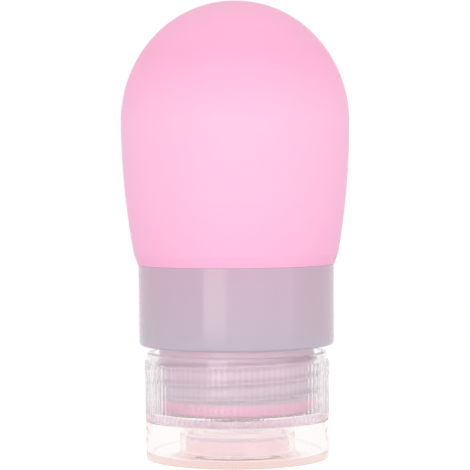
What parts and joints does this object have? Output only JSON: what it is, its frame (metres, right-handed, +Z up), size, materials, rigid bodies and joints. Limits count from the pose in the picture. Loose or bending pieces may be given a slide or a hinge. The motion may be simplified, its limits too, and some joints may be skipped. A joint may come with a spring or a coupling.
{
  "type": "travel silicone bottle",
  "caption": "Squeezable travel bottle: soft silicone bulb, hard collar and threaded neck, clear ribbed screw cap with a drip valve and a hinged flip lid.",
  "frame": {"origin": "centre of the lid's flat underside, on which the bottle stands upside down", "axes": "+Z up the bottle's axis, from the lid to the top of the bulb; +Y towards the lid's hinge, at the back"},
  "size_m": [0.042, 0.042, 0.0842],
  "materials": {
    "bulb_silicone": "matte translucent pink silicone",
    "collar_plastic": "glossy translucent lilac-grey",
    "neck_plastic": "glossy translucent lilac-grey",
    "clear_plastic": "glossy clear, faintly pink in its edges",
    "clear_silicone": "satin clear silicone",
    "pin_plastic": "glossy clear"
  },
  "bodies": {
    "bottle": {"bottle_body": "bulb_silicone", "neck_sleeve": "neck_plastic", "collar_band": "collar_plastic"},
    "valve": {"drip_valve": "clear_silicone"},
    "cap": {"cap_shell": "clear_plastic", "hinge_pin": "pin_plastic"},
    "lid": {"flip_lid": "clear_plastic", "lid_plug": "clear_silicone"}
  },
  "joints": [
    {"name": "cap_travel", "type": "slide", "parent": "bottle", "child": "valve", "axis": [0, 0, -1], "range_m": [0, 0.006]},
    {"name": "cap_turn", "type": "hinge", "parent": "valve", "child": "cap", "pos_m": [0, 0, 0.0137], "axis": [0, 0, -1], "range_deg": [0, 720]},
    {"name": "lid_flip", "type": "hinge", "parent": "cap", "child": "lid", "pos_m": [0, 0.0187, 0.0073], "axis": [1, 0, 0], "range_deg": [0, 160]}
  ],
  "couplings": [
    {"joint": "cap_travel", "follows": "cap_turn", "m_per_rad": 0.00047746}
  ]
}
